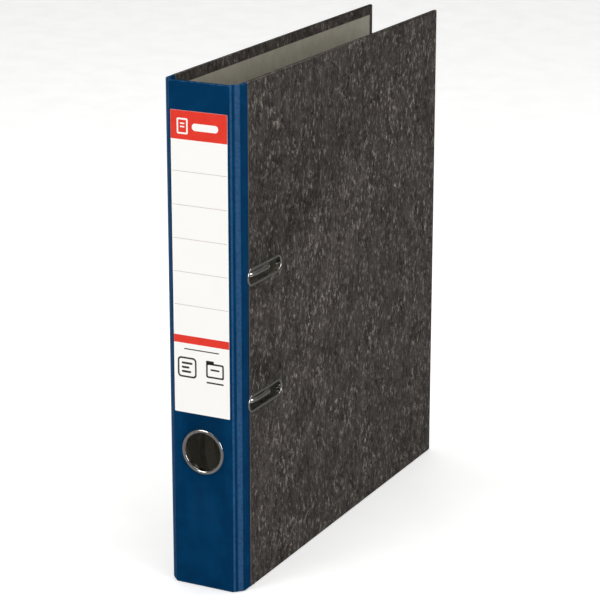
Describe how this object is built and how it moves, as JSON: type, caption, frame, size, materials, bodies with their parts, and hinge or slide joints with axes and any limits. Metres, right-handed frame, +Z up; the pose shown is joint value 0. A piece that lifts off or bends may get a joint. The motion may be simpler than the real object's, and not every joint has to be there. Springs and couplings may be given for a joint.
{
  "type": "lever arch file",
  "caption": "Narrow-spine A4 lever arch file with hinged paper-covered boards, a two-post lever arch mechanism, a thumb ring and slotted front cover.",
  "frame": {"origin": "middle of the footprint, on the surface the file stands on", "axes": "+Z up along the spine; +X across the spine towards the front cover; -Y the way the spine faces, +Y towards the fore edge"},
  "size_m": [0.052, 0.2856, 0.318],
  "materials": {
    "board": "raw grey",
    "spine_blue": "satin, embossed",
    "marbled_paper": "matt, grey cloud pattern",
    "lining_paper": "matt",
    "label_paper": "printed, semi-matt",
    "nickel": "bright nickel plate",
    "zinc_steel": "nickel plate",
    "spring_steel": "bare",
    "roller_plastic": "moulded"
  },
  "bodies": {
    "back_cover": {"back_cover_board": "board", "back_cover_paper": "marbled_paper", "back_cover_cloth": "spine_blue", "back_cover_lining": "lining_paper", "base_plate": "zinc_steel", "post_lower": "zinc_steel", "post_upper": "zinc_steel", "mounting_rivets": "nickel", "lever_pin": "zinc_steel", "opening_spring": "spring_steel"},
    "back_strip": {"back_joint_board": "board", "back_joint_cloth": "spine_blue", "back_joint_lining": "lining_paper"},
    "spine": {"spine_board": "board", "spine_cloth": "spine_blue", "spine_lining": "lining_paper", "spine_label": "label_paper", "thumb_ring": "nickel", "thumb_ring_washer": "nickel"},
    "front_strip": {"front_joint_board": "board", "front_joint_cloth": "spine_blue", "front_joint_lining": "lining_paper"},
    "front_cover": {"front_cover_board": "board", "front_cover_paper": "marbled_paper", "front_cover_cloth": "spine_blue", "front_cover_lining": "lining_paper", "eyelet_lower": "nickel", "eyelet_upper": "nickel", "eyelet_washer_lower": "nickel", "eyelet_washer_upper": "nickel"},
    "arches": {"arch_wire": "nickel"},
    "lever": {"lever": "zinc_steel", "roller_pin": "zinc_steel"},
    "roller": {"roller": "roller_plastic"},
    "press_bar": {"press_bar": "zinc_steel"}
  },
  "joints": [
    {"name": "back_strip_fold", "type": "hinge", "parent": "back_cover", "child": "back_strip", "pos_m": [-0.0254, -0.13655, 0.159], "axis": [0, 0, -1], "range_deg": [0, 45]},
    {"name": "spine_fold", "type": "hinge", "parent": "back_strip", "child": "spine", "pos_m": [-0.0198, -0.14215, 0.159], "axis": [0, 0, -1], "range_deg": [0, 45]},
    {"name": "front_strip_fold", "type": "hinge", "parent": "spine", "child": "front_strip", "pos_m": [0.0198, -0.14215, 0.159], "axis": [0, 0, -1], "range_deg": [0, 45]},
    {"name": "front_cover_open", "type": "hinge", "parent": "front_strip", "child": "front_cover", "pos_m": [0.0254, -0.13655, 0.159], "axis": [0, 0, -1], "range_deg": [0, 45]},
    {"name": "arch_swing", "type": "hinge", "parent": "back_cover", "child": "arches", "pos_m": [-0.01795, -0.12415, 0.159], "axis": [0, 0, -1], "range_deg": [0, 50]},
    {"name": "lever_lift", "type": "hinge", "parent": "back_cover", "child": "lever", "pos_m": [-0.01193, -0.11465, 0.1435], "axis": [0, -1, 0], "range_deg": [0, 58]},
    {"name": "roller_spin", "type": "hinge", "parent": "lever", "child": "roller", "pos_m": [-0.01452, -0.11465, 0.13446], "axis": [0, 1, 0], "continuous": true},
    {"name": "press_bar_slide", "type": "slide", "parent": "back_cover", "child": "press_bar", "axis": [1, 0, 0], "range_m": [0, 0.024]}
  ],
  "couplings": [
    {"joint": "back_strip_fold", "follows": "spine_fold", "ratio": 1},
    {"joint": "front_strip_fold", "follows": "front_cover_open", "ratio": 1},
    {"joint": "arch_swing", "follows": "spine_fold", "ratio": 1.1111},
    {"joint": "lever_lift", "follows": "spine_fold", "ratio": 1.2889}
  ]
}
